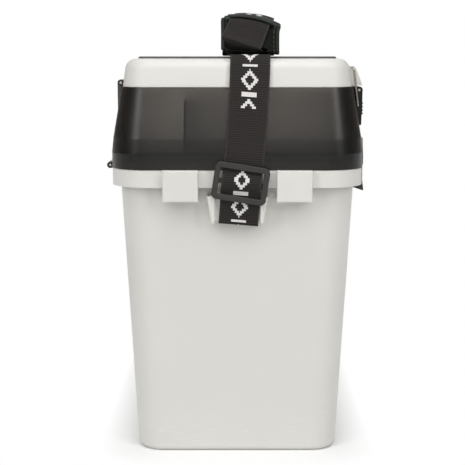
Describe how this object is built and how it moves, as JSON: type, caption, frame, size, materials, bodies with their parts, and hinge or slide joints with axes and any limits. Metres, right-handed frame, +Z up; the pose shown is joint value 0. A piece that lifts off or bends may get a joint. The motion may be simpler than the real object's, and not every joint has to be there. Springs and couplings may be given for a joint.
{
  "type": "ice fishing box",
  "caption": "Tall tapered ice fishing box with a smoked tray tier, a padded seat lid, hinges, draw latches, flip latches and a webbing shoulder strap.",
  "frame": {"origin": "middle of the bucket's underside, on the floor", "axes": "+Z up, +X along the box towards its far end, +Y across it towards the hinges, -Y towards the latches"},
  "size_m": [0.3824, 0.2558, 0.4378],
  "materials": {
    "light_grey_plastic": "satin moulded",
    "smoked_plastic": "smoked, semi-clear",
    "clear_smoke_plastic": "smoked, semi-clear",
    "seat_foam": "fine closed-cell foam",
    "steel": "bright wire",
    "black_plastic": "satin moulded",
    "dark_grey_plastic": "satin moulded",
    "webbing": "ribbed woven webbing",
    "pad_fabric": "woven cover over foam"
  },
  "bodies": {
    "bucket": {"bucket": "light_grey_plastic", "tray_hinge_pin_near": "steel", "tray_hinge_pin_far": "steel", "strap_loop_near": "webbing", "strap_loop_far": "webbing", "strap_slider_near": "dark_grey_plastic", "strap_slider_far": "dark_grey_plastic"},
    "tray": {"tray": "smoked_plastic", "tray_divider_1": "clear_smoke_plastic", "tray_divider_2": "clear_smoke_plastic", "tray_divider_3": "clear_smoke_plastic", "lid_hinge_pin_near": "steel", "lid_hinge_pin_far": "steel", "lid_latch_pin_near": "steel", "lid_latch_pin_far": "steel", "body_latch_pin_near": "steel", "body_latch_pin_far": "steel", "strap_tray_strand_near": "webbing", "strap_tray_strand_far": "webbing"},
    "lid": {"lid": "light_grey_plastic", "seat_pad": "seat_foam", "strap_top": "webbing", "shoulder_pad": "pad_fabric", "strap_lid_strand_near": "webbing", "strap_lid_strand_far": "webbing"},
    "lid_latch_lever_near": {"lid_latch_lever_near": "black_plastic"},
    "lid_latch_bail_near": {"lid_latch_bail_near": "steel"},
    "body_latch_near": {"body_latch_near": "dark_grey_plastic"},
    "lid_latch_lever_far": {"lid_latch_lever_far": "black_plastic"},
    "lid_latch_bail_far": {"lid_latch_bail_far": "steel"},
    "body_latch_far": {"body_latch_far": "dark_grey_plastic"}
  },
  "joints": [
    {"name": "tray_hinge", "type": "hinge", "parent": "bucket", "child": "tray", "pos_m": [0, 0.12635, 0.2891], "axis": [-1, 0, 0], "range_deg": [0, 95]},
    {"name": "lid_hinge", "type": "hinge", "parent": "tray", "child": "lid", "pos_m": [0, 0.1144, 0.37], "axis": [-1, 0, 0], "range_deg": [0, 105]},
    {"name": "lid_latch_lever_near_hinge", "type": "hinge", "parent": "tray", "child": "lid_latch_lever_near", "pos_m": [-0.12, -0.1204, 0.3628], "axis": [-1, 0, 0], "range_deg": [0, 100]},
    {"name": "lid_latch_bail_near_hinge", "type": "hinge", "parent": "lid_latch_lever_near", "child": "lid_latch_bail_near", "pos_m": [-0.12, -0.1192, 0.3474], "axis": [-1, 0, 0], "range_deg": [-100, 0]},
    {"name": "body_latch_near_hinge", "type": "hinge", "parent": "tray", "child": "body_latch_near", "pos_m": [-0.12, -0.123, 0.2993], "axis": [-1, 0, 0], "range_deg": [0, 100]},
    {"name": "lid_latch_lever_far_hinge", "type": "hinge", "parent": "tray", "child": "lid_latch_lever_far", "pos_m": [0.12, -0.1204, 0.3628], "axis": [-1, 0, 0], "range_deg": [0, 100]},
    {"name": "lid_latch_bail_far_hinge", "type": "hinge", "parent": "lid_latch_lever_far", "child": "lid_latch_bail_far", "pos_m": [0.12, -0.1192, 0.3474], "axis": [-1, 0, 0], "range_deg": [-100, 0]},
    {"name": "body_latch_far_hinge", "type": "hinge", "parent": "tray", "child": "body_latch_far", "pos_m": [0.12, -0.123, 0.2993], "axis": [-1, 0, 0], "range_deg": [0, 100]}
  ],
  "couplings": [
    {"joint": "lid_latch_bail_near_hinge", "follows": "lid_latch_lever_near_hinge", "ratio": -1},
    {"joint": "lid_latch_bail_far_hinge", "follows": "lid_latch_lever_far_hinge", "ratio": -1}
  ]
}
